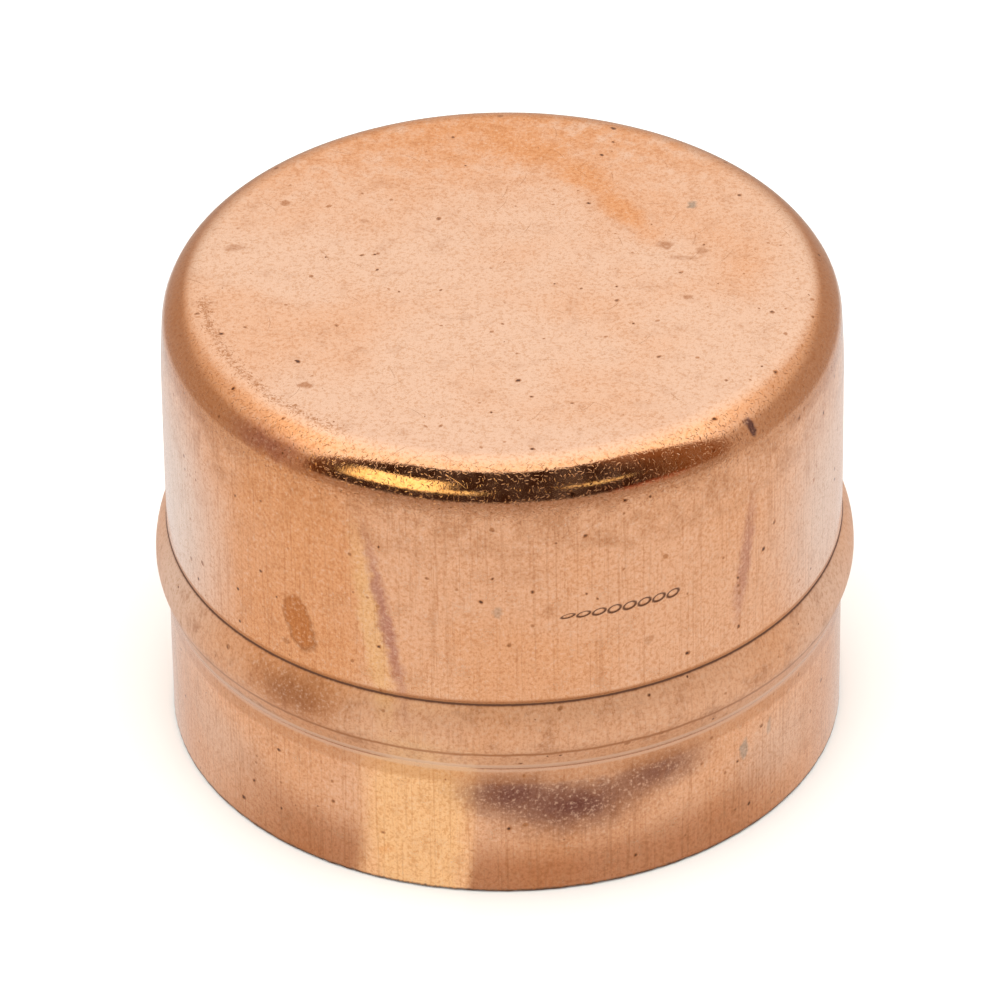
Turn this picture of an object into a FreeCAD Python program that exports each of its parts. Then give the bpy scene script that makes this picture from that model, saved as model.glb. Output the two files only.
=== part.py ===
import FreeCAD, Part

import math
import os

# A copper stop end that caps a pipe by capillary soldering. It is drawn from one piece of
# sheet: a flat closed end, a corner radius and a straight wall, with a bead rolled out of
# the wall near the open mouth. The bead's groove, on the inside, holds a ring of solder.
#
# The frame is in millimetres. The origin is the centre of the mouth, in the plane of the
# cut rim, and +Z runs along the axis towards the closed end.

# --- Driving dimensions ---

# The pipe that the cap fits, and its fit
pipe_outer_diameter = 54.0
socket_clearance = 0.08  # radial gap between the pipe and the socket wall

# The drawn shell
wall = 1.4
overall_height = 42.0
corner_radius = 3.5  # outside, between the closed end and the wall
neck_length = 6.5  # the stretch under the corner where the wall draws in, which stops the pipe
neck_lean = 4.0  # degrees that the wall leans in at the top of that stretch

# The bead, on the outside of the wall
bead_bottom = 12.7  # height of its lower edge over the rim
bead_width = 6.65  # from its lower edge to the crease on top of it
bead_height = 1.02  # how far its crest stands out of the wall
bead_crest = 3.23  # height of its crest over its lower edge
bead_turn_radius = 2.7  # just below the crest, where it turns under
bead_foot_radius = 0.3  # in the hollow where it runs back into the wall

# The cut rim of the mouth
rim_lead_in = 0.4  # chamfer inside, which guides the pipe
rim_break = 0.15  # chamfer outside, where the burr is taken off

# The solder ring in the groove
ring_recess = 0.1  # how far its inner face stays behind the socket wall
ring_end_margin = 0.55  # between each of its sides and the end of the groove
ring_split = 1.2  # gap between the two ends of the bent wire

# --- Sizes that follow ---

socket_radius = pipe_outer_diameter / 2 + socket_clearance
socket_depth = overall_height - corner_radius - neck_length
wall_radius = socket_radius + wall
crest_z = bead_bottom + bead_crest

AXIS = FreeCAD.Vector(0, 0, 1)
ORIGIN = FreeCAD.Vector(0, 0, 0)


def at(r, z):
    """A point of the half section, r from the axis and z above the rim."""
    return FreeCAD.Vector(r, 0, z)


def around(centre, radius, angle):
    """The point of a circle at an angle in degrees: 0 points outward and 90 points up."""
    turn = math.radians(angle)
    return centre + FreeCAD.Vector(radius * math.cos(turn), 0, radius * math.sin(turn))


def arc(centre, radius, start, end):
    """The stretch of a circle between two angles, as an edge."""
    middle = (start + end) / 2
    points = [around(centre, radius, angle) for angle in (start, middle, end)]
    return Part.Arc(*points).toShape()


def chain(pieces):
    """Joins edges and single points, in order, with straight lines, and closes the loop."""
    edges = []
    ends = []
    for piece in pieces:
        if isinstance(piece, FreeCAD.Vector):
            ends.append((piece, piece))
        else:
            edges.append(piece)
            first = piece.valueAt(piece.FirstParameter)
            last = piece.valueAt(piece.LastParameter)
            ends.append((first, last))
    for (_, here), (there, _) in zip(ends, ends[1:] + ends[:1]):
        if here.distanceToPoint(there) > 1e-6:
            edges.append(Part.LineSegment(here, there).toShape())
    return Part.Wire(Part.__sortEdges__(edges))


def turned(wire):
    """The solid that a closed half section makes when it is turned about the axis."""
    return Part.Face(wire).revolve(ORIGIN, AXIS, 360)


def bead_arcs(depth):
    """The bead's surface, from the crease at its top to its foot, as edges.

    depth is how far below the outer skin the surface lies: 0 is the outside of the bead and
    the wall's thickness gives the groove on the inside.
    """
    rise = bead_width - bead_crest
    face_radius = (bead_height**2 + rise**2) / (2 * bead_height)
    face_centre = at(wall_radius + bead_height - face_radius, crest_z)
    reach = face_radius - depth
    face_rise = math.sqrt(2 * bead_height * reach - bead_height**2)
    face_start = math.degrees(math.asin(face_rise / reach))

    turn_centre = at(wall_radius + bead_height - bead_turn_radius, crest_z)
    foot_centre = at(wall_radius + bead_foot_radius, bead_bottom)
    across = foot_centre.x - turn_centre.x
    down = turn_centre.z - foot_centre.z
    radii = bead_turn_radius + bead_foot_radius
    flank = math.degrees(math.atan2(down, across) - math.acos(radii / math.hypot(across, down)))

    return [
        arc(face_centre, reach, face_start, 0),
        arc(turn_centre, bead_turn_radius - depth, 0, -flank),
        arc(foot_centre, bead_foot_radius + depth, 180 - flank, 180),
    ]


def skin(depth):
    """The shell's surface from the axis at the closed end down to the bead's foot."""
    neck_radius = neck_length / math.sin(math.radians(neck_lean)) + corner_radius
    neck_centre = at(wall_radius - neck_radius, socket_depth)
    corner_centre = around(neck_centre, neck_radius - corner_radius, neck_lean)
    return [
        at(0, overall_height - depth),
        arc(corner_centre, corner_radius - depth, 90, neck_lean),
        arc(neck_centre, neck_radius - depth, neck_lean, 0),
    ] + bead_arcs(depth)


def make_cap_body():
    """The one-piece copper shell."""
    outside = skin(0) + [
        at(wall_radius, rim_break),
        at(wall_radius - rim_break, 0),
    ]
    inside = skin(wall) + [
        at(socket_radius, rim_lead_in),
        at(socket_radius + rim_lead_in, 0),
    ]
    return turned(chain(outside + [reversed_piece(piece) for piece in reversed(inside)]))


def reversed_piece(piece):
    """The same point, or the same arc run the other way."""
    if isinstance(piece, FreeCAD.Vector):
        return piece
    first = piece.valueAt(piece.FirstParameter)
    last = piece.valueAt(piece.LastParameter)
    middle = piece.valueAt((piece.FirstParameter + piece.LastParameter) / 2)
    return Part.Arc(last, middle, first).toShape()


def make_solder_ring():
    """The ring of solder wire, pressed to the shape of the bead's groove."""
    groove_arcs = bead_arcs(wall)
    groove_top = groove_arcs[0].valueAt(groove_arcs[0].FirstParameter).z
    groove = turned(chain(groove_arcs))
    inner_radius = socket_radius + ring_recess
    low = bead_bottom + ring_end_margin
    height = groove_top - ring_end_margin - low
    bottom = FreeCAD.Vector(0, 0, low)
    band = Part.makeCylinder(wall_radius + bead_height, height, bottom, AXIS)
    band = band.cut(Part.makeCylinder(inner_radius, height, bottom, AXIS))
    corner = FreeCAD.Vector(-ring_split / 2, 0, low)
    split = Part.makeBox(ring_split, 2 * wall_radius, height, corner)
    return groove.common(band).cut(split).Solids[0]


def main():
    os.makedirs("parts", exist_ok=True)
    nodes = {
        "cap_body": make_cap_body(),
        "solder_ring": make_solder_ring(),
    }
    for name, shape in nodes.items():
        if not shape.isValid():
            raise ValueError(name + " isn't a sound solid")
        shape.exportStep("parts/" + name + ".step")
        print(name, round(shape.Volume, 1), "mm3")


main()
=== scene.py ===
"""A copper stop end for soldered pipework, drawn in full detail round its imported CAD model.

The cap stands on its mouth with the closed end up. Lengths are in millimetres where a name or a
docstring says so, and in metres everywhere Blender sees them. Turns are in degrees round the axis:
0 is the front (-Y) and 90 is the right-hand side (+X).
"""

import logging
import math
from dataclasses import dataclass
from enum import Enum
from typing import Any

import bmesh
import bpy
from bmesh.types import BMesh, BMVert
from bpy.types import Material, Node, NodeSocket, NodeTree, Object
from mathutils import Matrix, Vector, noise


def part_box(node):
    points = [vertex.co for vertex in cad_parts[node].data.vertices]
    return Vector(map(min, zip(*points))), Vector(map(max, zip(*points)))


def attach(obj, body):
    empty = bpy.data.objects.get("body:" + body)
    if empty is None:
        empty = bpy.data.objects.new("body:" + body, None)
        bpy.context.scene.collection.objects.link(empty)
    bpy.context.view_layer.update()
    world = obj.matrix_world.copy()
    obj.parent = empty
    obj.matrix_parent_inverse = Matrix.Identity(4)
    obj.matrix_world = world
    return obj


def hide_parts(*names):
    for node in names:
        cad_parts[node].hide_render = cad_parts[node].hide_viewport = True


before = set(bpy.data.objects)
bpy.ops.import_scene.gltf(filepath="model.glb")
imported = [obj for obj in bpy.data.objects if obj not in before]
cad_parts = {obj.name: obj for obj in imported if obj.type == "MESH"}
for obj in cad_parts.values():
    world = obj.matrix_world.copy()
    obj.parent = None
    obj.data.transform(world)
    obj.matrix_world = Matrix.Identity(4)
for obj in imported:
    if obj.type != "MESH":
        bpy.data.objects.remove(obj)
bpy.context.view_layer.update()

LOG = logging.getLogger("stop_end")

MM = 0.001
FULL_TURN = 360.0
ROOM = "studio_room"
SHARP_ANGLE = 32.0  # degrees between faces past which an edge stays crisp
TOUCHING = 1e-5  # millimetres within which two points are the same
END_CHART = 100.0  # third chart coordinate of the closed end, far from the wall's 0

Colour = tuple[float, float, float]
Stops = tuple[tuple[float, Colour], ...]


class Shade(Enum):
    """Colours that copper takes as it is handled, heated and stored, and colours of reflections
    and shade painted over it, as linear RGB.
    """

    PALE = (0.93, 0.585, 0.405)
    FRESH = (0.92, 0.49, 0.28)
    ORANGE = (0.86, 0.36, 0.13)
    RUST = (0.66, 0.23, 0.06)
    # The blush, gold, mauve and dusk colours serve only for painted reflections and painted shade.
    BLUSH_REFLECTION = (0.93, 0.70, 0.58)
    GOLD_REFLECTION = (1.0, 0.58, 0.25)
    BROWN = (0.50, 0.185, 0.06)
    DARK = (0.12, 0.04, 0.018)
    MAUVE_REFLECTION = (0.44, 0.16, 0.13)
    DUSK_SHADE = (0.21, 0.072, 0.048)
    NAVY = (0.035, 0.03, 0.075)
    GREY = (0.33, 0.27, 0.21)


class Tint(Enum):
    """Colours that multiply the metal's own."""

    HAZE = (0.80, 0.66, 0.52)
    STREAK = (0.78, 0.68, 0.58)
    SCRATCH = (0.62, 0.48, 0.36)
    FILM = (0.5, 0.5, 0.5)


# --- Shader maths ---


@dataclass(frozen=True)
class Signal:
    """A number that changes over a surface, held as the socket that carries it."""

    wiring: "Wiring"
    socket: NodeSocket

    def _math(self, operation: str, *values: "Signal | float") -> "Signal":
        """Adds one Math node over the given values."""
        made = self.wiring.node("ShaderNodeMath", dict(enumerate(values)), operation=operation)
        return Signal(self.wiring, made.outputs[0])

    def __add__(self, other: "Signal | float") -> "Signal":
        """self + other."""
        return self._math("ADD", self, other)

    __radd__ = __add__

    def __mul__(self, other: "Signal | float") -> "Signal":
        """self * other."""
        return self._math("MULTIPLY", self, other)

    __rmul__ = __mul__

    def __sub__(self, other: "Signal | float") -> "Signal":
        """self - other."""
        return self._math("SUBTRACT", self, other)

    def __rsub__(self, other: float) -> "Signal":
        """other - self."""
        return self._math("SUBTRACT", other, self)

    def __truediv__(self, other: "Signal | float") -> "Signal":
        """self / other."""
        return self._math("DIVIDE", self, other)

    def __pow__(self, other: "Signal | float") -> "Signal":
        """self to the power of other."""
        return self._math("POWER", self, other)

    def __abs__(self) -> "Signal":
        """The size of self without its sign."""
        return self._math("ABSOLUTE", self)

    def most(self, other: "Signal | float") -> "Signal":
        """The larger of self and other."""
        return self._math("MAXIMUM", self, other)

    def least(self, other: "Signal | float") -> "Signal":
        """The smaller of self and other."""
        return self._math("MINIMUM", self, other)

    def above(self, edge: "Signal | float") -> "Signal":
        """1 where self is over the edge, and 0 elsewhere."""
        return self._math("GREATER_THAN", self, edge)

    def nearest(self) -> "Signal":
        """The whole number nearest to self."""
        return self._math("ROUND", self)

    def root(self) -> "Signal":
        """The square root of self."""
        return self._math("SQRT", self)

    def turn_from(self, other: "Signal") -> "Signal":
        """The angle, in radians, whose sine and cosine go as self and other."""
        return self._math("ARCTAN2", self, other)

    def rise(self, low: float, high: float) -> "Signal":
        """A smooth step from 0, at low, to 1, at high."""
        made = self.wiring.node(
            "ShaderNodeMapRange",
            {"Value": self, "From Min": low, "From Max": high},
            interpolation_type="SMOOTHSTEP",
        )
        return Signal(self.wiring, made.outputs[0])

    def fall(self, low: float, high: float) -> "Signal":
        """A smooth step from 1, at low, down to 0, at high."""
        return 1.0 - self.rise(low, high)

    def between(self, low: float, high: float, soft: float) -> "Signal":
        """1 from low to high, fading to 0 over soft on each side."""
        return self.rise(low - soft, low) * self.fall(high, high + soft)


class Wiring:
    """A node tree as it is made, and the short ways to add to it."""

    def __init__(self, tree: NodeTree) -> None:
        """Starts from a node tree, which is cleared."""
        self.tree = tree
        self.tree.nodes.clear()

    def feed(self, socket: NodeSocket, value: Any) -> None:
        """Gives a socket a value, or links it to what carries one.

        Args:
            socket: the input to fill.
            value: a number, a colour or its name, a vector, a socket or a Signal.
        """
        if isinstance(value, Enum):
            value = rgba(value)
        if isinstance(value, Signal):
            value = value.socket
        if isinstance(value, NodeSocket):
            self.tree.links.new(value, socket)
        else:
            socket.default_value = value

    def node(
        self, kind: str, sockets: dict[str | int, Any] | None = None, **settings: Any
    ) -> Node:
        """Adds a node.

        Args:
            kind: the node's type.
            sockets: its inputs by name or number, as values or links.
            **settings: its properties, such as an operation, which are set first.

        Returns:
            The new node.
        """
        made = self.tree.nodes.new(kind)
        for name, value in settings.items():
            setattr(made, name, value)
        for name, value in (sockets or {}).items():
            self.feed(made.inputs[name], value)
        return made

    def vector(self, operation: str, *values: Any) -> NodeSocket:
        """Adds one Vector Math node and returns its vector."""
        made = self.node("ShaderNodeVectorMath", dict(enumerate(values)), operation=operation)
        return made.outputs["Vector"]

    def measure(self, operation: str, *values: Any) -> Signal:
        """Adds one Vector Math node and returns its number, such as a length."""
        made = self.node("ShaderNodeVectorMath", dict(enumerate(values)), operation=operation)
        return Signal(self, made.outputs["Value"])

    def scaled(self, vector: Any, factor: float) -> NodeSocket:
        """A vector times a number."""
        sockets = {"Vector": vector, "Scale": factor}
        return self.node("ShaderNodeVectorMath", sockets, operation="SCALE").outputs["Vector"]

    def joined(self, x: Any, y: Any, z: Any) -> NodeSocket:
        """A vector made of three numbers."""
        return self.node("ShaderNodeCombineXYZ", {"X": x, "Y": y, "Z": z}).outputs[0]

    def parts(self, vector: Any) -> list[Signal]:
        """The three numbers of a vector."""
        made = self.node("ShaderNodeSeparateXYZ", {"Vector": vector})
        return [Signal(self, socket) for socket in made.outputs]

    def mixed(
        self, factor: Any, under: Any, over: Any, blend: str = "MIX"
    ) -> NodeSocket:
        """A colour laid over another by a factor."""
        sockets = {"Factor": factor, 6: under, 7: over}
        return self.node("ShaderNodeMix", sockets, data_type="RGBA", blend_type=blend).outputs[2]

    def tinted(self, factor: Any, under: Any, over: Any) -> NodeSocket:
        """A colour multiplied by another, by a factor."""
        return self.mixed(factor, under, over, "MULTIPLY")

    def grain(self, place: Any, scale: float, detail: float = 2.0, rough: float = 0.5) -> Signal:
        """Smooth noise from 0 to 1, with scale features to a millimetre."""
        made = self.node(
            "ShaderNodeTexNoise",
            {"Vector": place, "Scale": scale, "Detail": detail, "Roughness": rough},
        )
        return Signal(self, made.outputs[0])


class Finish(Wiring):
    """A material as it is made."""

    def __init__(self, name: str) -> None:
        """Starts an empty material.

        Args:
            name: what the material is called.
        """
        self.material = bpy.data.materials.new(name)
        self.material.use_nodes = True
        super().__init__(self.material.node_tree)

    def place(self) -> NodeSocket:
        """Where a point lies on its own piece, in millimetres."""
        return self.scaled(self.node("ShaderNodeTexCoord").outputs["Object"], 1 / MM)

    def relief(self, height: Signal) -> NodeSocket:
        """The normal of a surface that stands up by a height in millimetres."""
        made = self.node("ShaderNodeBump", {"Distance": MM, "Height": height})
        return made.outputs[0]

    def scratches(self, point: Any, scale: float, width: float, share: float) -> Signal:
        """Short curved scratches, one to a cell and each in its own direction.

        Args:
            point: place on the piece, in millimetres.
            scale: cells to a millimetre.
            width: half width of a scratch, in millimetres.
            share: share of the cells that have one.

        Returns:
            1 on a scratch and 0 off it.
        """
        cell = self.node("ShaderNodeTexVoronoi", {"Vector": point, "Scale": scale}).outputs
        centre = self.scaled(cell["Position"], scale)
        offset = self.vector("SUBTRACT", self.scaled(point, scale), centre)
        chance = self.vector("SUBTRACT", cell["Color"], (0.5, 0.5, 0.5))
        away = self.measure("DOT_PRODUCT", offset, self.vector("NORMALIZE", chance))
        length = self.measure("LENGTH", offset)
        bend, _, luck = self.parts(chance)
        line = abs(away + bend * length * length).fall(0.0, width * scale)
        return line * length.fall(0.3, 0.6) * luck.fall(share - 0.52, share - 0.5)

    def specks(self, point: Any, scale: float, size: float, share: float) -> Signal:
        """Round specks of many sizes, one to a cell in a share of the cells.

        Args:
            point: place on the piece, in millimetres.
            scale: cells to a millimetre.
            size: radius of the largest ones, in millimetres.
            share: share of the cells that have one.

        Returns:
            1 in the middle of a speck, falling to 0 at its edge.
        """
        cell = self.node("ShaderNodeTexVoronoi", {"Vector": point, "Scale": scale}).outputs
        red, green, _ = self.parts(cell["Color"])
        reach = Signal(self, cell["Distance"]) / (size * scale * (0.25 + green * green))
        return reach.fall(0.3, 1.0) * red.fall(share - 0.01, share)

    def surface(self, sockets: dict[str | int, Any]) -> Material:
        """Adds the shader and the output, and returns the finished material."""
        shader = self.node("ShaderNodeBsdfPrincipled", sockets)
        self.node("ShaderNodeOutputMaterial", {"Surface": shader.outputs[0]})
        return self.material

    def glow(self, colour: Any) -> Material:
        """Finishes a material that gives off a colour and reflects nothing."""
        return self.surface(
            {
                "Base Color": rgba((0.0, 0.0, 0.0)),
                "Roughness": 1.0,
                "Specular IOR Level": 0.0,
                "Emission Color": colour,
                "Emission Strength": 1.0,
            }
        )


def rgba(colour: Shade | Tint | Colour) -> tuple[float, float, float, float]:
    """A colour with full alpha, as a socket takes it."""
    red, green, blue = colour.value if isinstance(colour, Enum) else colour
    return red, green, blue, 1.0


# --- Sizes ---


@dataclass(frozen=True)
class CapSizes:
    """The cap's sizes in millimetres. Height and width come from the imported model."""

    height: float
    crest_radius: float
    wall: float = 1.4
    corner_radius: float = 3.5
    neck_length: float = 6.5
    neck_lean: float = 4.0
    bead_bottom: float = 12.7
    bead_width: float = 6.65
    bead_height: float = 1.02
    bead_crest: float = 3.23
    bead_turn_radius: float = 2.7
    bead_foot_radius: float = 0.3
    rim_lead_in: float = 0.4
    rim_break: float = 0.15

    @property
    def wall_radius(self) -> float:
        """Outside radius of the straight wall."""
        return self.crest_radius - self.bead_height

    @property
    def bore_radius(self) -> float:
        """Inside radius of the straight wall."""
        return self.wall_radius - self.wall

    @property
    def crest_z(self) -> float:
        """Height of the bead's crest."""
        return self.bead_bottom + self.bead_crest

    @property
    def crease_z(self) -> float:
        """Height of the crease on top of the bead."""
        return self.bead_bottom + self.bead_width

    @property
    def crease_rise(self) -> float:
        """How far the crease is over the bead's crest."""
        return self.bead_width - self.bead_crest

    @property
    def face_radius(self) -> float:
        """Radius of the bead's upper face."""
        return (self.bead_height**2 + self.crease_rise**2) / (2 * self.bead_height)

    @property
    def face_x(self) -> float:
        """How far the centre of the bead's upper face is from the axis."""
        return self.crest_radius - self.face_radius

    @property
    def turn_x(self) -> float:
        """How far the centre of the bead's crest is from the axis."""
        return self.crest_radius - self.bead_turn_radius

    @property
    def corner_z(self) -> float:
        """Height at which the corner's arc begins."""
        return self.height - self.corner_radius

    @property
    def flat_radius(self) -> float:
        """Radius of the flat of the closed end."""
        return self.wall_radius - self.corner_radius


# --- Drawing and turning ---


def sweep(bm: BMesh, drawn: list[Any], start: float, span: float, steps: int) -> None:
    """Turns what is drawn about the upright axis.

    Args:
        bm: the mesh it is drawn in, with nothing else.
        drawn: what is turned.
        start: degrees to begin at.
        span: degrees to go; a full turn is joined up.
        steps: facets on the way.
    """
    begin = Matrix.Rotation(math.radians(start), 3, "Z")
    bmesh.ops.rotate(bm, verts=bm.verts[:], cent=(0.0, 0.0, 0.0), matrix=begin)
    bmesh.ops.spin(
        bm,
        geom=drawn,
        cent=(0.0, 0.0, 0.0),
        axis=(0.0, 0.0, 1.0),
        angle=math.radians(span),
        steps=steps,
        use_merge=span == FULL_TURN,
    )


def close_up(bm: BMesh) -> None:
    """Merges points that touch and turns every face outwards."""
    bmesh.ops.remove_doubles(bm, verts=bm.verts, dist=TOUCHING)
    bmesh.ops.recalc_face_normals(bm, faces=bm.faces)


def shown(bm: BMesh, name: str, material: Material) -> Object:
    """Puts a mesh in metres in the scene.

    Args:
        bm: the mesh, which is used up.
        name: what the object is called.
        material: its finish.

    Returns:
        The object.
    """
    mesh = bpy.data.meshes.new(name)
    bm.to_mesh(mesh)
    bm.free()
    mesh.materials.append(material)
    made = bpy.data.objects.new(name, mesh)
    bpy.context.scene.collection.objects.link(made)
    return made


class SectionPen:
    """Draws a half section in the XZ plane, one stretch after another, in millimetres."""

    def __init__(self, bm: BMesh, r: float, z: float) -> None:
        """Puts the pen down at a distance from the axis and a height."""
        self.bm = bm
        self.tip = bm.verts.new((r, 0.0, z))

    def line(self, r: float, z: float, pieces: int = 1) -> "SectionPen":
        """Draws a straight stretch to a point.

        Args:
            r: the point's distance from the axis.
            z: its height.
            pieces: how many equal pieces the stretch is drawn in.

        Returns:
            The pen.
        """
        step = (Vector((r, 0.0, z)) - self.tip.co) / pieces
        for _ in range(pieces):
            drawn = bmesh.ops.extrude_vert_indiv(self.bm, verts=[self.tip])
            self.tip = drawn["verts"][0]
            bmesh.ops.translate(self.bm, verts=[self.tip], vec=step)
        return self

    def arc(self, r: float, z: float, degrees: float, pieces: int) -> "SectionPen":
        """Draws an arc round a centre.

        Args:
            r: the centre's distance from the axis.
            z: its height.
            degrees: how far to go; a positive angle goes from the top outwards and down.
            pieces: how many equal pieces the arc is drawn in.

        Returns:
            The pen.
        """
        drawn = bmesh.ops.spin(
            self.bm,
            geom=[self.tip],
            cent=(r, 0.0, z),
            axis=(0.0, 1.0, 0.0),
            angle=math.radians(degrees),
            steps=pieces,
        )
        self.tip = next(v for v in drawn["geom_last"] if isinstance(v, BMVert))
        return self

    def join(self, other: "SectionPen") -> None:
        """Closes the gap between two pens with a straight stretch."""
        self.bm.edges.new((self.tip, other.tip))


@dataclass(frozen=True)
class Piece:
    """What every finished piece of the cap has in common."""

    sizes: CapSizes
    name: str
    node: str
    slot: str

    def drawn(self) -> BMesh:
        """Makes the piece's mesh, in millimetres."""
        raise NotImplementedError

    def build(self, material: Material) -> Object:
        """Makes the piece, which stands for its CAD node, and dresses it.

        Args:
            material: its finish.

        Returns:
            The piece's object, at the origin.
        """
        bm = self.drawn()
        bmesh.ops.scale(bm, vec=(MM, MM, MM), verts=bm.verts)
        piece = shown(bm, self.name, material)
        piece.data.shade_smooth()
        piece.data.set_sharp_from_angle(angle=math.radians(SHARP_ANGLE))
        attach(piece, "root")
        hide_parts(self.node)
        return piece


# --- The copper shell ---


@dataclass(frozen=True)
class DentRow:
    """A row of small lens-shaped dents in the wall. Lengths are in millimetres."""

    count: int = 8
    depth: float = 0.045
    height: float = 27.9
    first: float = 10.2  # turn of the first one
    last: float = 28.6
    half_length: float = 0.58
    tilt: float = 0.18
    least_half_height: float = 0.2
    growth: float = 0.16  # how much taller the last dents are than the first
    growing: int = 3  # dents over which they grow

    @property
    def pitch(self) -> float:
        """Degrees from one dent to the next."""
        return (self.last - self.first) / (self.count - 1)

    def push(self, turn: float, z: float, radius: float) -> float:
        """How far the wall is pushed in at a place.

        Args:
            turn: degrees from the front.
            z: height.
            radius: the wall's.

        Returns:
            The depth there, which is below 0 on the raised edge of a dent.
        """
        number = min(max(round((turn - self.first) / self.pitch), 0), self.count - 1)
        along = math.radians(turn - self.first - number * self.pitch) * radius
        up = z - self.height - self.tilt * along
        grown = self.growth * min(number, self.growing) / self.growing
        half_height = self.least_half_height + grown
        distance = math.hypot(along / self.half_length, up / half_height)
        burr = 0.3 * math.exp(-(((distance - 1.15) / 0.12) ** 2))
        return self.depth * (min(1.0, max(0.0, 1 - distance) / 0.45) - burr)


@dataclass(frozen=True)
class CapShell(Piece):
    """The one-piece copper shell, with the small faults that drawing and handling leave."""

    name: str = "copper_shell"
    node: str = "cap_body"
    slot: str = "copper"
    steps: int = 320  # facets round the axis
    ripple: float = 0.03  # how far the skin wanders from a true turned shape
    burr: float = 0.14  # how far the cut rim wanders
    rim_band: float = 0.6  # height over which the rim's faults fade
    dents: DentRow = DentRow()

    def draw_skin(self, bm: BMesh, depth: float, coarse: int) -> SectionPen:
        """Draws the skin from the axis down to the bead's foot.

        Args:
            bm: the mesh to draw in.
            depth: how far below the outer skin it lies.
            coarse: how many times fewer pieces the inside gets.

        Returns:
            The pen, at the bead's foot.
        """
        s = self.sizes
        lean = math.radians(s.neck_lean)
        neck_radius = s.neck_length / math.sin(lean) + s.corner_radius
        neck_x = s.wall_radius - neck_radius
        neck_z = s.corner_z - s.neck_length
        reach = neck_radius - s.corner_radius
        corner_x = neck_x + reach * math.cos(lean)

        face_reach = s.face_radius - depth
        face_rise = math.sqrt(2 * s.bead_height * face_reach - s.bead_height**2)
        face_angle = math.degrees(math.asin(face_rise / face_reach))
        foot_x = s.wall_radius + s.bead_foot_radius
        flank = self.flank_angle(foot_x - s.turn_x)
        flank_end = math.radians(flank)
        foot_reach = s.bead_foot_radius + depth

        pen = SectionPen(bm, 0.0, s.height - depth)
        pen.line(corner_x, s.height - depth, 14 // coarse)
        pen.arc(corner_x, s.corner_z, 90 - s.neck_lean, 20 // coarse)
        pen.arc(neck_x, neck_z, s.neck_lean, 8 // coarse)
        pen.line(s.wall_radius - depth, s.crest_z + face_rise, 16 // coarse)
        pen.arc(s.face_x, s.crest_z, face_angle, 10 // coarse)
        pen.arc(s.turn_x, s.crest_z, flank, 6 // coarse)
        pen.line(
            foot_x - foot_reach * math.cos(flank_end),
            s.bead_bottom + foot_reach * math.sin(flank_end),
            4 // coarse,
        )
        pen.arc(foot_x, s.bead_bottom, -flank, 4)
        return pen

    def flank_angle(self, across: float) -> float:
        """How far the bead's straight lower flank leans, in degrees from upright.

        Args:
            across: how far the foot's centre lies outside the centre of the turn.

        Returns:
            The angle of the flank.
        """
        s = self.sizes
        radii = s.bead_turn_radius + s.bead_foot_radius
        apart = math.hypot(across, s.bead_crest)
        return math.degrees(math.atan2(s.bead_crest, across) - math.acos(radii / apart))

    def drawn(self) -> BMesh:
        """Draws both skins and the rim, turns them about the axis and adds the small faults.

        Returns:
            The closed shell, in millimetres.
        """
        s = self.sizes
        bm = bmesh.new()
        outside = self.draw_skin(bm, 0.0, 1)
        outside.line(s.wall_radius, s.rim_break, 14)
        outside.line(s.wall_radius - s.rim_break, 0.0)
        outside.line(s.wall_radius - s.wall / 2, 0.0)
        inside = self.draw_skin(bm, s.wall, 2)
        inside.line(s.bore_radius, s.rim_lead_in, 6)
        inside.line(s.bore_radius + s.rim_lead_in, 0.0)
        inside.join(outside)
        sweep(bm, bm.verts[:] + bm.edges[:], 0.0, FULL_TURN, self.steps)
        close_up(bm)
        self.press_dents(bm)
        self.age(bm)
        return bm

    def press_dents(self, bm: BMesh) -> None:
        """Presses a row of small lens-shaped dents into the wall.

        Args:
            bm: the shell.
        """
        s = self.sizes
        row = self.dents
        margin = 1.5

        def near(v: BMVert) -> bool:
            """Whether a point lies where the dents go."""
            turn = math.degrees(math.atan2(v.co.x, -v.co.y))
            on_skin = math.hypot(v.co.x, v.co.y) > s.wall_radius - s.wall / 2
            in_row = row.first - margin < turn < row.last + margin
            return on_skin and in_row and abs(v.co.z - row.height) < 2.0

        edges = [e for e in bm.edges if all(near(v) for v in e.verts)]
        bmesh.ops.subdivide_edges(bm, edges=edges, cuts=8, use_grid_fill=True)
        for v in [v for v in bm.verts if near(v)]:
            turn = math.degrees(math.atan2(v.co.x, -v.co.y))
            out = Vector((v.co.x, v.co.y, 0.0)).normalized()
            push = row.push(turn, v.co.z, s.wall_radius)
            v.co = out * (s.wall_radius - push) + Vector((0.0, 0.0, v.co.z))

    def age(self, bm: BMesh) -> None:
        """Lets the skin ripple a little and leaves the sheared rim uneven.

        Args:
            bm: the shell.
        """
        s = self.sizes
        for v in bm.verts:
            radius = math.hypot(v.co.x, v.co.y)
            out = Vector((v.co.x, v.co.y, 0.0)) / max(radius, 1e-6)
            outer = radius > s.wall_radius - s.wall / 2
            wander = noise.noise(v.co * 0.11) + 0.5 * noise.noise(v.co * 0.27)
            if outer or v.co.z > s.height - s.wall / 2:
                fade = min(1.0, max(0.0, (v.co.z - 0.5) / 2.0))
                v.co += out * (self.ripple * wander * fade)
            if v.co.z < self.rim_band:
                nick = abs(noise.noise(out * 34.0)) + 0.6 * abs(noise.noise(out * 90.0))
                lift = (self.rim_band - v.co.z) / self.rim_band
                v.co.z += self.burr * nick * lift
                v.co += out * (0.05 * noise.noise(out * 60.0) * lift)


# --- The solder ring ---


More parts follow.
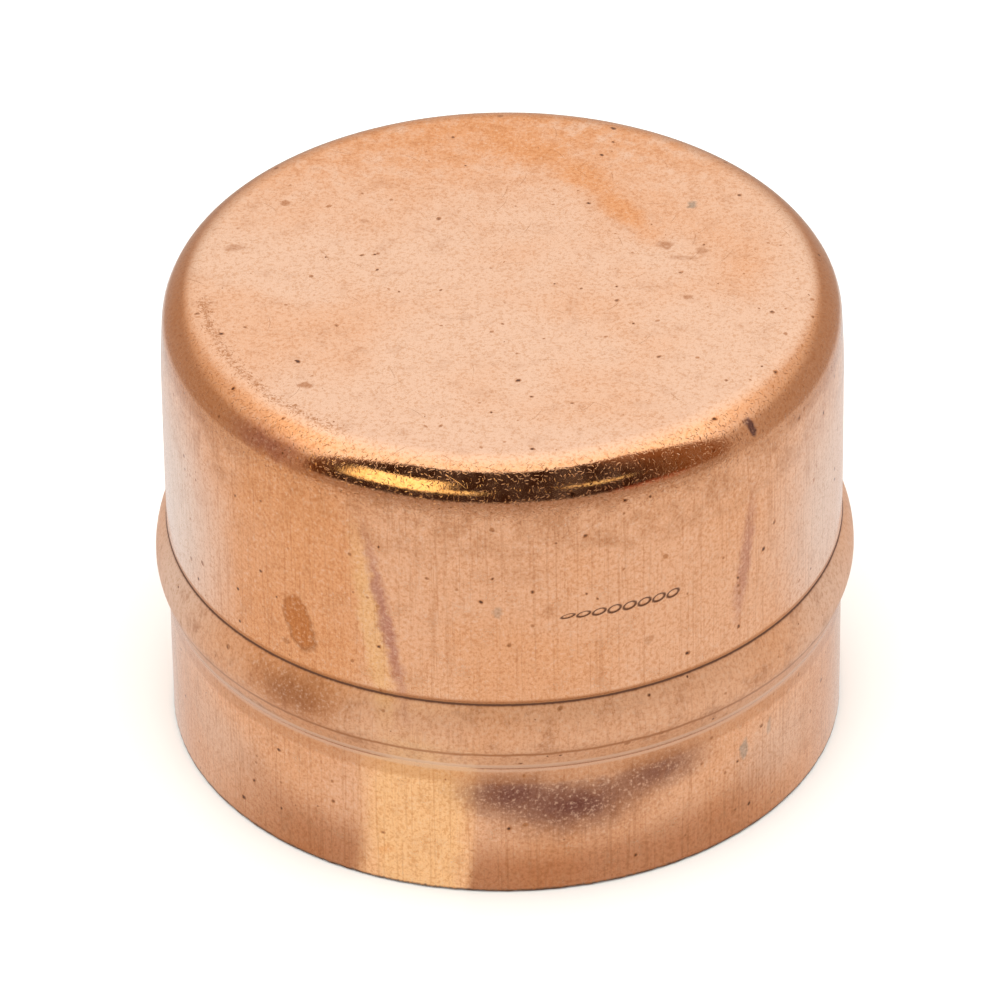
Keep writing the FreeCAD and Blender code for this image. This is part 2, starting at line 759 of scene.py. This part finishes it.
@dataclass(frozen=True)
class SolderRing(Piece):
    """The split ring of solder that lies in the groove behind the bead."""

    name: str = "solder_wire_ring"
    node: str = "solder_ring"
    slot: str = "solder"
    recess: float = 0.1
    split: float = 1.2
    corner: float = 0.3  # how far its inner corners are rounded up or down
    corner_step: float = 0.12
    foot_step: float = 0.38
    foot_lift: float = 0.06
    crest_angle: float = 20.0  # how far it follows the crest, in degrees
    softness: float = 0.05  # how far its bore wanders
    steps: int = 220

    @property
    def inner(self) -> float:
        """Radius of its bore."""
        return self.sizes.bore_radius + self.recess

    def draw_section(self, bm: BMesh) -> None:
        """Draws the closed section, which fills the groove behind the bead.

        Args:
            bm: the mesh to draw in.
        """
        s = self.sizes
        low, high = (corner.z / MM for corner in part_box(self.node))
        reach = s.face_radius - s.wall
        high_angle = math.asin((high - s.crest_z) / reach)
        pen = SectionPen(bm, self.inner + self.corner_step, high)
        first = pen.tip
        pen.line(s.face_x + reach * math.cos(high_angle), high)
        pen.arc(s.face_x, s.crest_z, math.degrees(high_angle), 10)
        pen.arc(s.turn_x, s.crest_z, self.crest_angle, 4)
        pen.line(s.bore_radius + self.foot_step, low + self.foot_lift, 4)
        pen.line(self.inner + self.corner_step, low)
        pen.line(self.inner, low + self.corner)
        pen.line(self.inner, high - self.corner, 6)
        bm.edges.new((pen.tip, first))

    def drawn(self) -> BMesh:
        """Turns the section most of the way round, with its two ends closed.

        Returns:
            The ring, in millimetres.
        """
        bm = bmesh.new()
        self.draw_section(bm)
        half_gap = math.degrees(self.split / 2 / self.sizes.wall_radius)
        outline = bm.verts[:] + bm.edges[:]
        end = bmesh.ops.contextual_create(bm, geom=bm.edges[:])["faces"]
        sweep(bm, end + outline, 90 + half_gap, FULL_TURN - 2 * half_gap, self.steps)
        close_up(bm)
        for v in bm.verts:
            if math.hypot(v.co.x, v.co.y) < self.inner + 0.2:
                out = Vector((v.co.x, v.co.y, 0.0)).normalized()
                v.co += out * self.softness * (1 + noise.noise(v.co * 0.8))
        return bm


# --- Finishes ---


@dataclass(frozen=True)
class ColourPatch:
    """A discoloured patch with a soft, uneven edge. Most are stains; some on the wall are painted
    reflections and painted shade.
    """

    across: float  # x in millimetres on the end, turn in degrees on the wall
    along: float  # y on the end, height on the wall
    width: float
    length: float
    shade: Shade
    strength: float
    soft: float = 0.6  # share of the patch over which it fades
    lean: float = 0.0  # how far it leans across for each millimetre along

    def mask(self, f: Finish, chart: Any, centre: tuple[float, float, float]) -> Signal:
        """Finds where it lies.

        Args:
            f: the finish it is added to.
            chart: place on the wall or the end laid out flat, in millimetres.
            centre: its middle on the chart.

        Returns:
            A mask from 0 to its strength.
        """
        offset = f.vector("SUBTRACT", chart, centre)
        if self.lean:
            upright = f.measure("DOT_PRODUCT", offset, (1.0, -self.lean, 0.0))
            _, along, away = f.parts(offset)
            offset = f.joined(upright, along, away)
        offset = f.vector("MULTIPLY", offset, (1 / self.width, 1 / self.length, 1.0))
        return f.measure("LENGTH", offset).fall(1 - self.soft, 1.0) * self.strength


END_STAINS = (
    ColourPatch(3.0, 19.5, 5.5, 3.0, Shade.ORANGE, 0.75, 0.8),
    ColourPatch(7.0, 15.5, 3.2, 4.0, Shade.ORANGE, 0.8, 0.7, -0.5),
    ColourPatch(10.2, 10.3, 2.2, 4.2, Shade.ORANGE, 0.8, 0.7, -0.5),
    ColourPatch(12.4, 6.2, 2.2, 2.6, Shade.ORANGE, 0.45, 1.0),
    ColourPatch(1.0, 21.5, 4.0, 2.2, Shade.ORANGE, 0.6, 0.9),
    ColourPatch(20.0, 4.0, 5.0, 10.0, Shade.ORANGE, 0.4, 1.0),
    ColourPatch(13.6, 5.0, 0.9, 0.8, Shade.BROWN, 0.65),
    ColourPatch(15.0, 3.0, 1.5, 0.6, Shade.BROWN, 0.45),
    ColourPatch(16.7, 4.1, 0.9, 0.8, Shade.BROWN, 0.6),
    ColourPatch(16.1, 10.9, 0.7, 0.7, Shade.GREY, 0.7),
    ColourPatch(15.5, -3.0, 0.6, 0.6, Shade.BROWN, 0.6),
    ColourPatch(-22.2, 5.3, 1.5, 0.5, Shade.BROWN, 0.5),
    ColourPatch(-16.1, -15.0, 0.8, 0.7, Shade.BROWN, 0.75),
    ColourPatch(-18.1, 12.1, 0.6, 0.5, Shade.BROWN, 0.7),
    ColourPatch(-11.5, 9.1, 0.5, 0.6, Shade.BROWN, 0.5),
)

# Stains on the wall, and among them painted reflections and painted shade.
WALL_STAINS_AND_PAINTED_LIGHT = (
    ColourPatch(-38.0, 28.0, 8.2, 16.0, Shade.ORANGE, 0.55, 0.3),
    ColourPatch(-36.3, 23.8, 1.7, 3.0, Shade.BROWN, 0.95, 0.25, -0.2),
    ColourPatch(-36.5, 24.1, 1.5, 2.8, Shade.RUST, 0.9, 0.3, -0.2),
    ColourPatch(-39.5, 21.5, 0.6, 0.4, Shade.BROWN, 0.6),
    ColourPatch(6.9, 28.5, 0.7, 0.8, Shade.BROWN, 0.35),
    ColourPatch(-1.2, 28.7, 0.7, 0.7, Shade.GREY, 0.4),
    ColourPatch(2.4, 32.4, 6.0, 1.6, Shade.BROWN, 0.2, 1.0),
    ColourPatch(24.3, 23.9, 0.7, 0.6, Shade.BROWN, 0.5),
    ColourPatch(46.1, 40.2, 0.7, 0.8, Shade.NAVY, 0.9),
    ColourPatch(43.4, 8.6, 0.6, 1.3, Shade.GREY, 0.8),
    ColourPatch(50.2, 9.3, 0.5, 1.0, Shade.GREY, 0.7),
    # Painted dark reflection below the bead, with a lighter painted reflection inside it.
    ColourPatch(0.0, 10.2, 7.0, 3.4, Shade.DUSK_SHADE, 0.95, 1.0),
    ColourPatch(11.0, 8.6, 10.0, 4.6, Shade.DUSK_SHADE, 1.0, 1.0),
    ColourPatch(26.0, 10.4, 7.0, 3.2, Shade.DUSK_SHADE, 0.85, 1.0),
    ColourPatch(13.5, 11.9, 4.8, 1.2, Shade.FRESH, 0.75, 0.8),
    # Painted reflections: a gold band down the skirt, a gold streak and two mauve streaks on the
    # wall.
    ColourPatch(-15.5, 6.0, 4.6, 12.0, Shade.GOLD_REFLECTION, 0.3, 0.35),
    ColourPatch(-22.6, 26.0, 1.5, 12.0, Shade.GOLD_REFLECTION, 0.6, 0.7, -0.14),
    ColourPatch(-20.0, 26.5, 1.0, 11.5, Shade.MAUVE_REFLECTION, 0.65, 0.8, -0.2),
    ColourPatch(43.5, 28.0, 1.1, 8.5, Shade.MAUVE_REFLECTION, 0.5, 0.8, 0.15),
    ColourPatch(-36.6, 17.0, 6.5, 3.0, Shade.BROWN, 1.0, 0.9),
    # Painted shade, a thin dark band along the foot of the bead on the left.
    ColourPatch(-48.0, 13.2, 6.0, 0.9, Shade.DUSK_SHADE, 0.5, 1.0),
    ColourPatch(-48.5, 7.0, 3.2, 2.2, Shade.BROWN, 0.25, 1.0),
    ColourPatch(-21.0, 3.2, 1.0, 0.6, Shade.ORANGE, 0.5),
    # Painted dark reflection on the corner, on the left.
    ColourPatch(-44.0, 39.9, 7.0, 1.5, Shade.MAUVE_REFLECTION, 0.75, 1.0),
    # Painted reflections: the wall and the skirt paler towards the two sides.
    ColourPatch(-72.0, 26.0, 11.0, 18.0, Shade.BLUSH_REFLECTION, 0.9, 0.9),
    ColourPatch(66.0, 26.0, 10.0, 18.0, Shade.BLUSH_REFLECTION, 0.75, 1.0),
    ColourPatch(52.0, 6.5, 9.0, 6.0, Shade.PALE, 0.8, 1.0),
    ColourPatch(-58.0, 7.0, 8.0, 5.0, Shade.PALE, 0.6, 1.0),
)


class Ground:
    """Where on the cap a point lies, its share in each zone and the metal's noise there."""

    def __init__(self, f: Finish, s: CapSizes) -> None:
        """Works everything out. Lengths are in millimetres.

        Args:
            f: the finish this is added to.
            s: the cap's sizes.
        """
        self.f = f
        self.point = f.place()
        self.x, self.y, self.z = f.parts(self.point)
        self.radius = (self.x * self.x + self.y * self.y).root()
        self.turn = self.x.turn_from(0.0 - self.y)  # radians from the front
        self.on_end = self.z.rise(s.height - 0.5, s.height - 0.05)
        self.on_corner = self.z.rise(s.corner_z - 1.6, s.corner_z - 0.2) * (1 - self.on_end)
        self.on_wall = self.z.fall(s.corner_z - 1.0, s.corner_z + 1.0)
        self.on_bead = self.z.between(s.bead_bottom + 0.4, s.crease_z, 0.3)
        over_end = self.z.rise(s.height - s.wall, s.height - s.wall / 2)
        self.outside = self.radius.rise(s.bore_radius + 0.2, s.wall_radius - 0.4).most(over_end)

        self.broad = f.grain(self.point, 0.07, 2.0)
        self.cloud = f.grain(self.point, 0.45, 4.0, 0.65)
        self.fine = f.grain(self.point, 3.2, 3.0, 0.75)
        drawn = f.vector("MULTIPLY", self.point, (4.5, 4.5, 0.1))
        self.draw_lines = f.grain(drawn, 1.0, 3.0, 0.7)
        wander = f.node("ShaderNodeTexNoise", {"Vector": self.point, "Scale": 0.9, "Detail": 3.0})
        wander = f.vector("SUBTRACT", wander.outputs["Color"], (0.5, 0.5, 0.5))
        self.drift = f.vector("MULTIPLY", wander, (1.5, 1.5, 0.0))
        self.ragged = f.vector("ADD", self.point, f.scaled(self.drift, 0.5))


@dataclass(frozen=True)
class DrawnCopper:
    """Satin copper sheet, drawn, handled and lightly tarnished, with reflections and shade painted
    into its colour.
    """

    sizes: CapSizes
    dents: DentRow
    wall_gloss: float = 0.17
    end_gloss: float = 0.22
    corner_gloss: float = 0.09
    bead_dullness: float = 0.25
    least_film: float = 0.02
    wall_film: float = 0.22
    end_film: float = 0.32
    bead_film: float = 0.6
    rim_film: float = 0.85
    film_patchiness: float = 0.2
    grain_depth: float = 0.003  # depths are in millimetres
    bead_grain: float = 0.004
    corner_grain: float = 0.007
    draw_line_depth: float = 0.003
    cut_depth: float = 0.014
    speck_depth: float = 0.012
    speck_cells: float = 0.95  # cells are counted to a millimetre
    hair_cells: float = 0.42
    tiny_cells: float = 3.0

    def dent_outline_shade(self, at: Ground) -> Signal:
        """Finds the outline of each small dent in the row on the wall, which is darkened as
        painted shade.

        Args:
            at: the ground.

        Returns:
            1 in the outlines and 0 off them.
        """
        row = self.dents
        number = (at.turn * (180 / math.pi) - row.first) / row.pitch
        nearest = number.nearest().most(0.0).least(row.count - 1.0)
        along = (number - nearest) * (math.radians(row.pitch) * self.sizes.wall_radius)
        up = at.z - row.height - along * row.tilt
        grown = (nearest / float(row.growing)).least(1.0)
        half_height = row.least_half_height + grown * row.growth
        distance = ((along / row.half_length) ** 2.0 + (up / half_height) ** 2.0).root()
        return distance.rise(0.55, 0.85) * distance.fall(0.95, 1.3)

    def with_stains_and_reflections(self, at: Ground, colour: Any) -> NodeSocket:
        """Lays the stains, and on the wall the painted reflections and painted shade, over a
        colour, on the wall and the end laid out flat.

        Args:
            at: the ground.
            colour: the colour under them.

        Returns:
            The colour.
        """
        f = at.f
        radius = self.sizes.wall_radius
        flat = f.node(
            "ShaderNodeMix",
            {
                "Factor": at.on_end.above(0.5),
                4: f.joined(at.turn * radius, at.z, 0.0),
                5: f.joined(at.x, at.y, END_CHART),
            },
            data_type="VECTOR",
        )
        chart = f.vector("ADD", flat.outputs[1], at.drift)
        placed = [(patch, (patch.across, patch.along, END_CHART)) for patch in END_STAINS]
        for patch in WALL_STAINS_AND_PAINTED_LIGHT:
            placed.append((patch, (math.radians(patch.across) * radius, patch.along, 0.0)))
        for patch, centre in placed:
            colour = f.mixed(patch.mask(f, chart, centre), colour, patch.shade)
        return colour

    def bare_metal(self, at: Ground) -> NodeSocket:
        """Tints the metal: orange deepening towards the back of the end, a painted dark reflection
        round the neck, and the stains, painted reflections and painted shade.

        Args:
            at: the ground.

        Returns:
            The colour.
        """
        f, s = at.f, self.sizes
        colour = f.mixed(at.on_end, Shade.FRESH, Shade.PALE)
        colour = f.mixed(at.broad.rise(0.44, 0.66) * 0.35, colour, Shade.ORANGE)
        # Orange that deepens towards the back of the end, in patches.
        rear_orange = at.y.rise(6.0, 25.0) * at.on_end * at.cloud.rise(0.25, 0.6) * 0.85
        colour = f.mixed(rear_orange, colour, Shade.ORANGE)
        # Painted dark reflection: a patchy brown band round the neck, below the corner.
        neck_reflection = at.z.between(s.corner_z - 4.0, s.corner_z - 0.5, 1.5)
        neck_reflection = neck_reflection * at.cloud.rise(0.35, 0.65) * 0.35
        colour = f.mixed(neck_reflection, colour, Shade.BROWN)
        return self.with_stains_and_reflections(at, colour)

    def tarnished(self, at: Ground, colour: Any) -> NodeSocket:
        """Lays tarnish that follows the grain over a colour, and a painted dark reflection on the
        corner away from the front.

        Args:
            at: the ground.
            colour: the colour under it.

        Returns:
            The colour.
        """
        f = at.f
        mottle = at.cloud.rise(0.5, 0.75) * (0.24 + at.on_bead * 0.3)
        colour = f.mixed(mottle, colour, Shade.BROWN)
        colour = f.tinted(at.fine.rise(0.5, 0.62) * 0.7, colour, Tint.HAZE)
        colour = f.mixed(at.fine.fall(0.34, 0.46) * 0.5, colour, Shade.PALE)
        # Painted dark reflection: brown on the corner away from the front.
        corner_side_reflection = at.on_corner * abs(at.turn).rise(0.5, 1.1) * 0.5
        colour = f.mixed(corner_side_reflection, colour, Shade.BROWN)
        lines = at.draw_lines.rise(0.5, 0.66) * at.on_wall * 0.55
        return f.tinted(lines, colour, Tint.STREAK)

    def edge_lines(self, at: Ground, colour: Any) -> NodeSocket:
        """Draws a painted highlight along the bead's foot, painted shade over the crease and under
        the bead, and a brown line along the bead's turn, over a colour.

        Args:
            at: the ground.
            colour: the colour under them.

        Returns:
            The colour.
        """
        f, s = at.f, self.sizes
        # Painted highlight along the foot of the bead.
        foot_highlight = at.z.between(s.bead_bottom - 0.1, s.bead_bottom + 0.55, 0.25) * at.outside
        colour = f.mixed(foot_highlight * 0.9, colour, Shade.PALE)
        # Painted shade on the wall just over the crease.
        crease_shade = at.z.between(s.crease_z, s.crease_z + 0.25, 0.3) * 0.7
        turn_height = s.crest_z - 1.15
        turn_line = abs(at.z - turn_height + (at.cloud - 0.5) * 0.3).fall(0.06, 0.25) * 0.85
        # Painted shade under the bead.
        under_bead_shade = at.z.between(s.bead_bottom - 1.2, s.bead_bottom + 0.1, 0.5) * 0.35
        shade = crease_shade.most(turn_line).most(under_bead_shade) * at.outside
        return f.mixed(shade, colour, Shade.BROWN)

    def material(self) -> Material:
        """Builds the finish.

        Returns:
            The material.
        """
        s = self.sizes
        f = Finish("drawn_copper")
        at = Ground(f, s)
        colour = self.tarnished(at, self.bare_metal(at))

        specks = f.specks(at.ragged, self.speck_cells, 0.27, 0.3) * at.outside
        colour = f.mixed(specks.rise(0.0, 0.5) * 0.75, colour, Shade.BROWN)
        dark_specks = specks.rise(0.6, 1.0) * at.cloud.rise(0.4, 0.55)
        colour = f.mixed(dark_specks, colour, Shade.DARK)
        colour = self.edge_lines(at, colour)

        # Painted shade: dark in the crease at the top of the bead and round the outline of each
        # dent. The bottom of the rim is darker too.
        crease = abs(at.z - s.crease_z + (at.fine - 0.5) * 0.12).fall(0.04, 0.15)
        rim = (at.z + (at.fine - 0.5) * 0.6).fall(0.2, 0.42)
        dark_lines = crease.most(rim).most(self.dent_outline_shade(at)) * at.outside
        colour = f.mixed(dark_lines * 0.9, colour, Shade.DARK)

        hair = f.scratches(at.point, self.hair_cells, 0.035, 0.5)
        tiny = f.scratches(at.ragged, self.tiny_cells, 0.032, 1.0)
        off_line = abs(at.radius - s.flat_radius - 0.1 + (at.broad - 0.5) * 2.5)
        scuffed = at.turn.between(-1.42, -0.62, 0.15) * at.z.rise(s.height - 1.2, s.height - 0.2)
        scuff = off_line.fall(0.3, 1.0) * scuffed
        core = off_line.fall(0.1, 0.5) * scuffed * at.fine.rise(0.42, 0.6)
        cuts = tiny * (0.1 + at.on_corner * 0.9 + at.on_end * 0.35 + scuff * 0.8)
        cuts = cuts.most(hair * (0.3 + 0.7 * at.on_end)).least(1.0)
        colour = f.tinted(cuts * 0.7, colour, Tint.SCRATCH)
        colour = f.mixed((scuff * tiny).most(core * 0.7), colour, Shade.BROWN)

        film = (at.on_bead * self.bead_film).most(at.on_wall * self.wall_film)
        film = film.most(at.on_end * self.end_film) + self.least_film
        film = film + (at.cloud - 0.5) * self.film_patchiness
        film = film.most(rim * at.outside * self.rim_film)
        rough = self.wall_gloss + (self.corner_gloss - self.wall_gloss) * at.on_corner
        rough = rough + (self.end_gloss - self.wall_gloss) * at.on_end
        rough = rough + at.on_bead * self.bead_dullness
        rough = rough + (at.fine - 0.5) * 0.12 + dark_lines * 0.2 + cuts * 0.15
        coarse = self.grain_depth + at.on_bead * self.bead_grain + at.on_corner * self.corner_grain
        height = at.fine * coarse + at.draw_lines * at.on_wall * self.draw_line_depth
        height = height - cuts * self.cut_depth - specks * self.speck_depth
        return f.surface(
            {
                "Base Color": f.tinted(film, colour, Tint.FILM),
                "Metallic": 1.0 - film.most(0.0),
                "Roughness": rough,
                "Normal": f.relief(height),
            }
        )


@dataclass(frozen=True)
class DullSolder:
    """Grey tin solder, drawn into wire and pressed into a groove."""

    light: Colour = (0.68, 0.67, 0.65)
    dark: Colour = (0.40, 0.39, 0.38)

    def material(self) -> Material:
        """Builds the finish.

        Returns:
            The material.
        """
        f = Finish("dull_solder")
        point = f.place()
        cloud = f.grain(point, 0.8, 4.0, 0.6)
        fine = f.grain(point, 5.0, 2.0)
        colour = f.mixed(cloud.rise(0.4, 0.7), rgba(self.light), rgba(self.dark))
        height = cloud * 0.02 + fine * 0.004
        return f.surface(
            {
                "Base Color": colour,
                "Metallic": 1.0,
                "Roughness": 0.38 + cloud * 0.2,
                "Normal": f.relief(height),
            }
        )


@dataclass(frozen=True)
class PaleTable:
    """The matt white table top that the cap stands on."""

    tone: float = 0.9

    def material(self) -> Material:
        """Builds the finish.

        Returns:
            The material.
        """
        f = Finish("pale_table")
        point = f.node("ShaderNodeTexCoord").outputs["Object"]
        cloud = f.grain(point, 30.0)
        tone = rgba((self.tone, self.tone, self.tone))
        colour = f.tinted(cloud * 0.03, tone, (0.9, 0.9, 0.9, 1.0))
        return f.surface({"Base Color": colour, "Roughness": 0.75})


@dataclass(frozen=True)
class BrownCloth:
    """Dark brown cloth that glows, a lighter brown towards its two ends as painted light, with
    lamps behind it that show in a few places.
    """

    cloth: Colour = (0.035, 0.014, 0.006)
    # Painted light: the cloth glows this lighter brown towards its two ends.
    end_glow: Colour = (0.27, 0.13, 0.055)
    hem: Colour = (0.42, 0.33, 0.27)  # its foot, lit from the table
    lamp: Colour = (1.9, 1.7, 0.85)
    ember: Colour = (0.55, 0.13, 0.05)

    def material(self) -> Material:
        """Builds the finish.

        Returns:
            The material.
        """
        f = Finish("brown_cloth")
        point = f.place()
        x, y, z = f.parts(point)
        turn = x.turn_from(0.0 - y) * (180 / math.pi)
        wave = (f.grain(point, 0.05) - 0.5) * 8.0
        lamp = turn.between(-42, -22, 7.0) * (z + wave).between(66, 124, 9.0)
        tail = turn.between(-22, -10, 6.0) * (z + wave).between(66, 80, 6.0) * 0.6
        streak = turn.between(20, 34, 4.0) * (z + wave).between(78, 86, 4.0) * 0.5
        ember = turn.between(34, 50, 5.0) * (z + wave).between(16, 30, 5.0) * 0.3
        side = turn.rise(34, 62).most(turn.fall(-64, -46))
        glow = f.mixed(side, rgba(self.cloth), rgba(self.end_glow))
        glow = f.mixed(z.fall(18, 28), glow, rgba(self.hem))
        glow = f.mixed(ember, glow, rgba(self.ember))
        glow = f.mixed(lamp.most(tail).most(streak), glow, rgba(self.lamp))
        return f.glow(glow)


@dataclass(frozen=True)
class ShadedMat:
    """What the cap mirrors of the table: shaded and warm beside it, paler further out."""

    near: Colour = (0.40, 0.25, 0.165)
    middle: Colour = (0.86, 0.85, 0.84)
    far: Colour = (0.84, 0.83, 0.82)
    outer: Colour = (0.60, 0.51, 0.44)
    lit: Colour = (1.04, 1.06, 0.88)
    hem: Colour = (0.42, 0.33, 0.27)  # in front, where the cloth comes down

    def material(self) -> Material:
        """Builds the finish.

        Returns:
            The material.
        """
        f = Finish("shaded_mat")
        point = f.place()
        x, y, _ = f.parts(point)
        radius = (x * x + y * y).root()
        turn = x.turn_from(0.0 - y) * (180 / math.pi)
        beside = abs(turn).rise(38, 68) * 0.8
        tone = f.mixed(radius.rise(31, 37).most(beside), rgba(self.near), rgba(self.middle))
        slanted = turn + (radius - 28.5) * 0.6
        lit = slanted.rise(-28, -24) * turn.fall(-8, -6) * radius.fall(46, 58)
        tone = f.mixed(lit, tone, rgba(self.lit))
        tone = f.mixed(radius.rise(60, 95), tone, rgba(self.far))
        tone = f.mixed(radius.rise(90, 118), tone, rgba(self.outer))
        front = turn.between(-60, 66, 6.0) * radius.rise(97, 107)
        tone = f.mixed(front, tone, rgba(self.hem))
        return f.glow(tone)


@dataclass(frozen=True)
class SoftBackdrop:
    """A low fawn backdrop all round that fades upwards into the pale room."""

    height: float
    low: Colour = (0.60, 0.51, 0.44)
    high: Colour = (1.0, 0.98, 0.94)

    def material(self) -> Material:
        """Builds the finish.

        Returns:
            The material.
        """
        f = Finish("soft_backdrop")
        point = f.node("ShaderNodeTexCoord").outputs["Object"]
        rise = (f.parts(point)[2] / self.height).rise(0.5, 1.0)
        return f.glow(f.mixed(rise, rgba(self.low), rgba(self.high)))


# --- The studio ---


@dataclass(frozen=True)
class Softbox:
    """A soft square light over the cap, which doesn't show in its reflections."""

    name: str = "overhead_softbox"
    lift: float = 75.0  # degrees over the table
    reach: float = 1.0  # metres from the cap
    side: float = 1.0  # metres
    power: float = 6.0  # watts

    def hang(self, aim: Vector) -> None:
        """Hangs it in front of a point and over it, and turns it to face the point.

        Args:
            aim: the point.
        """
        data = bpy.data.lights.new(self.name, "AREA")
        data.shape = "RECTANGLE"
        data.size = data.size_y = self.side
        data.energy = self.power
        light = bpy.data.objects.new(self.name, data)
        e = math.radians(self.lift)
        away = Vector((0.0, -math.cos(e), math.sin(e)))
        light.location = away * self.reach + aim
        light.rotation_mode = "QUATERNION"
        light.rotation_quaternion = away.to_track_quat("Z", "Y")
        light.visible_camera = False
        light.visible_glossy = False
        bpy.context.scene.collection.objects.link(light)


@dataclass(frozen=True)
class Studio:
    """Table, lights, the cards that reflections show, and camera."""

    table_side: float = 4.0
    elevation: float = 35.22
    distance: float = 0.6951
    aim_height: float = 0.01986
    roll: float = -0.738
    lens: float = 296.8
    shift: tuple[float, float] = (-0.0042, -0.0015)
    flag_radius: float = 0.13
    flag_height: float = 0.36
    flag_foot: float = 0.001
    flag_turns: tuple[float, float] = (-58.0, 68.0)
    mat_radius: float = 0.3
    mat_height: float = 0.0001
    card_steps: int = 96
    flag_steps: int = 40
    backdrop_height: float = 0.22
    brightest: Colour = (0.0, -0.17, 0.985)
    room_strength: float = 1.26
    room_tones: Stops = (
        (0.0, (0.82, 0.815, 0.81)),
        (0.2, (0.80, 0.795, 0.785)),
        (0.36, (0.79, 0.78, 0.765)),
        (0.55, (0.83, 0.82, 0.81)),
        (0.8, (1.06, 1.03, 0.93)),
        (1.0, (1.06, 1.03, 0.92)),
    )

    def table(self) -> None:
        """Lays the table under the cap."""
        bm = bmesh.new()
        bmesh.ops.create_grid(bm, x_segments=8, y_segments=8, size=self.table_side / 2)
        table = shown(bm, "table", PaleTable().material())

    def reflected(self, bm: BMesh, name: str, material: Material) -> None:
        """Sets up a mesh in metres as a card that only reflections see.

        Args:
            bm: the mesh, which is used up.
            name: what the card is called.
            material: its finish.
        """
        card = shown(bm, name, material)
        card.visible_camera = False
        card.visible_diffuse = False
        card.visible_shadow = False

    def cards(self) -> None:
        """Hangs a dark curved flag in front, stands a backdrop all round and lays a shaded mat."""
        bm = bmesh.new()
        low = bm.verts.new((0.0, -self.flag_radius, self.flag_foot))
        high = bm.verts.new((0.0, -self.flag_radius, self.flag_height))
        edge = bm.edges.new((low, high))
        first, last = self.flag_turns
        sweep(bm, [low, high, edge], first, last - first, self.flag_steps)
        self.reflected(bm, "front_flag", BrownCloth().material())
        bm = bmesh.new()
        bmesh.ops.create_circle(bm, segments=self.card_steps, radius=self.mat_radius)
        rise = bmesh.ops.extrude_edge_only(bm, edges=bm.edges[:])["geom"]
        top = [v for v in rise if isinstance(v, BMVert)]
        bmesh.ops.translate(bm, verts=top, vec=(0.0, 0.0, self.backdrop_height))
        self.reflected(bm, "low_backdrop", SoftBackdrop(self.backdrop_height).material())
        bm = bmesh.new()
        bmesh.ops.create_circle(
            bm, cap_ends=True, segments=self.card_steps, radius=self.mat_radius
        )
        bmesh.ops.translate(bm, verts=bm.verts, vec=(0.0, 0.0, self.mat_height))
        self.reflected(bm, "shaded_mat", ShadedMat().material())

    def lights(self) -> None:
        """Sets up the room's even light and hangs the softbox."""
        world = bpy.data.worlds.new(ROOM)
        world.use_nodes = True
        bpy.context.scene.world = world
        room = Wiring(world.node_tree)
        where = room.node("ShaderNodeTexCoord").outputs["Generated"]
        lift = room.measure("DOT_PRODUCT", where, self.brightest)
        tone = room.node("ShaderNodeValToRGB", {0: lift})
        stops = tone.color_ramp.elements
        while len(stops) < len(self.room_tones):
            stops.new(0.5)
        for stop, (place, shade) in zip(stops, self.room_tones):
            stop.position = place
            stop.color = rgba(shade)
        light = room.node(
            "ShaderNodeBackground", {"Color": tone.outputs[0], "Strength": self.room_strength}
        )
        room.node("ShaderNodeOutputWorld", {"Surface": light.outputs[0]})
        Softbox().hang(Vector((0.0, 0.0, self.aim_height)))

    def camera(self) -> None:
        """Stands the camera in front of the cap, looking down at it."""
        data = bpy.data.cameras.new("camera")
        data.lens = self.lens
        data.shift_x, data.shift_y = self.shift
        camera = bpy.data.objects.new("camera", data)
        e = math.radians(self.elevation)
        back = Vector((0.0, -math.cos(e), math.sin(e)))
        place = Vector((0.0, 0.0, self.aim_height)) + back * self.distance
        turn = Matrix.Rotation(e - math.radians(90), 4, "X").inverted()
        roll = Matrix.Rotation(math.radians(self.roll), 4, "Z")
        camera.matrix_world = Matrix.Translation(place) @ turn @ roll
        bpy.context.scene.collection.objects.link(camera)
        bpy.context.scene.camera = camera

    def build(self) -> None:
        """Sets up the whole studio."""
        self.table()
        self.cards()
        self.lights()
        self.camera()
        bpy.context.scene.view_settings.view_transform = "Standard"


def main() -> None:
    """Builds the pieces and the studio in order."""
    logging.basicConfig(level=logging.INFO, format="%(name)s: %(message)s")
    _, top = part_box("cap_body")
    sizes = CapSizes(height=top.z / MM, crest_radius=top.x / MM)
    shell = CapShell(sizes)
    pieces = (
        shell.build(DrawnCopper(sizes, shell.dents).material()),
        SolderRing(sizes).build(DullSolder().material()),
    )
    for piece in pieces:
        LOG.info("%s: %d faces", piece.name, len(piece.data.polygons))
    Studio().build()


if __name__ == "__main__":
    main()
